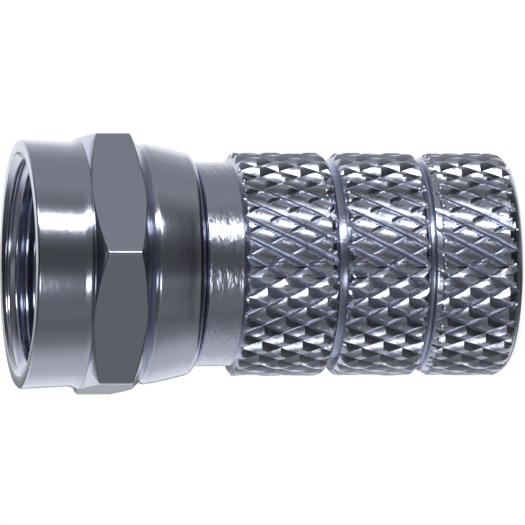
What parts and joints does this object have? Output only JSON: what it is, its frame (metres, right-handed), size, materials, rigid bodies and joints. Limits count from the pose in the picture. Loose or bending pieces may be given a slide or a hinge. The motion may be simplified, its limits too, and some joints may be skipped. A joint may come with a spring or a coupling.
{
  "type": "f connector",
  "caption": "Twist-on F connector plug for coaxial cable: hexagon coupling nut that spins on a knurled sleeve, held by a pressed flanged ferrule.",
  "frame": {"origin": "centre of the sleeve's rear ring face, which the part stands on", "axes": "+Z along the long axis, from the cable entry up to the mouth of the coupling nut; two flats of the nut's hexagon face +X and -X at rest"},
  "size_m": [0.011, 0.0128, 0.0217],
  "materials": {
    "nut_plating": "nickel-plated, turned and drawn",
    "sleeve_plating": "nickel-plated, knurled",
    "ferrule_plating": "nickel-plated, turned"
  },
  "bodies": {
    "sleeve": {"knurled_sleeve": "sleeve_plating", "flanged_ferrule": "ferrule_plating"},
    "nut": {"coupling_nut": "nut_plating"}
  },
  "joints": [
    {"name": "nut_spin", "type": "hinge", "parent": "sleeve", "child": "nut", "pos_m": [0, 0, 0.0148], "axis": [0, 0, 1], "continuous": true}
  ]
}
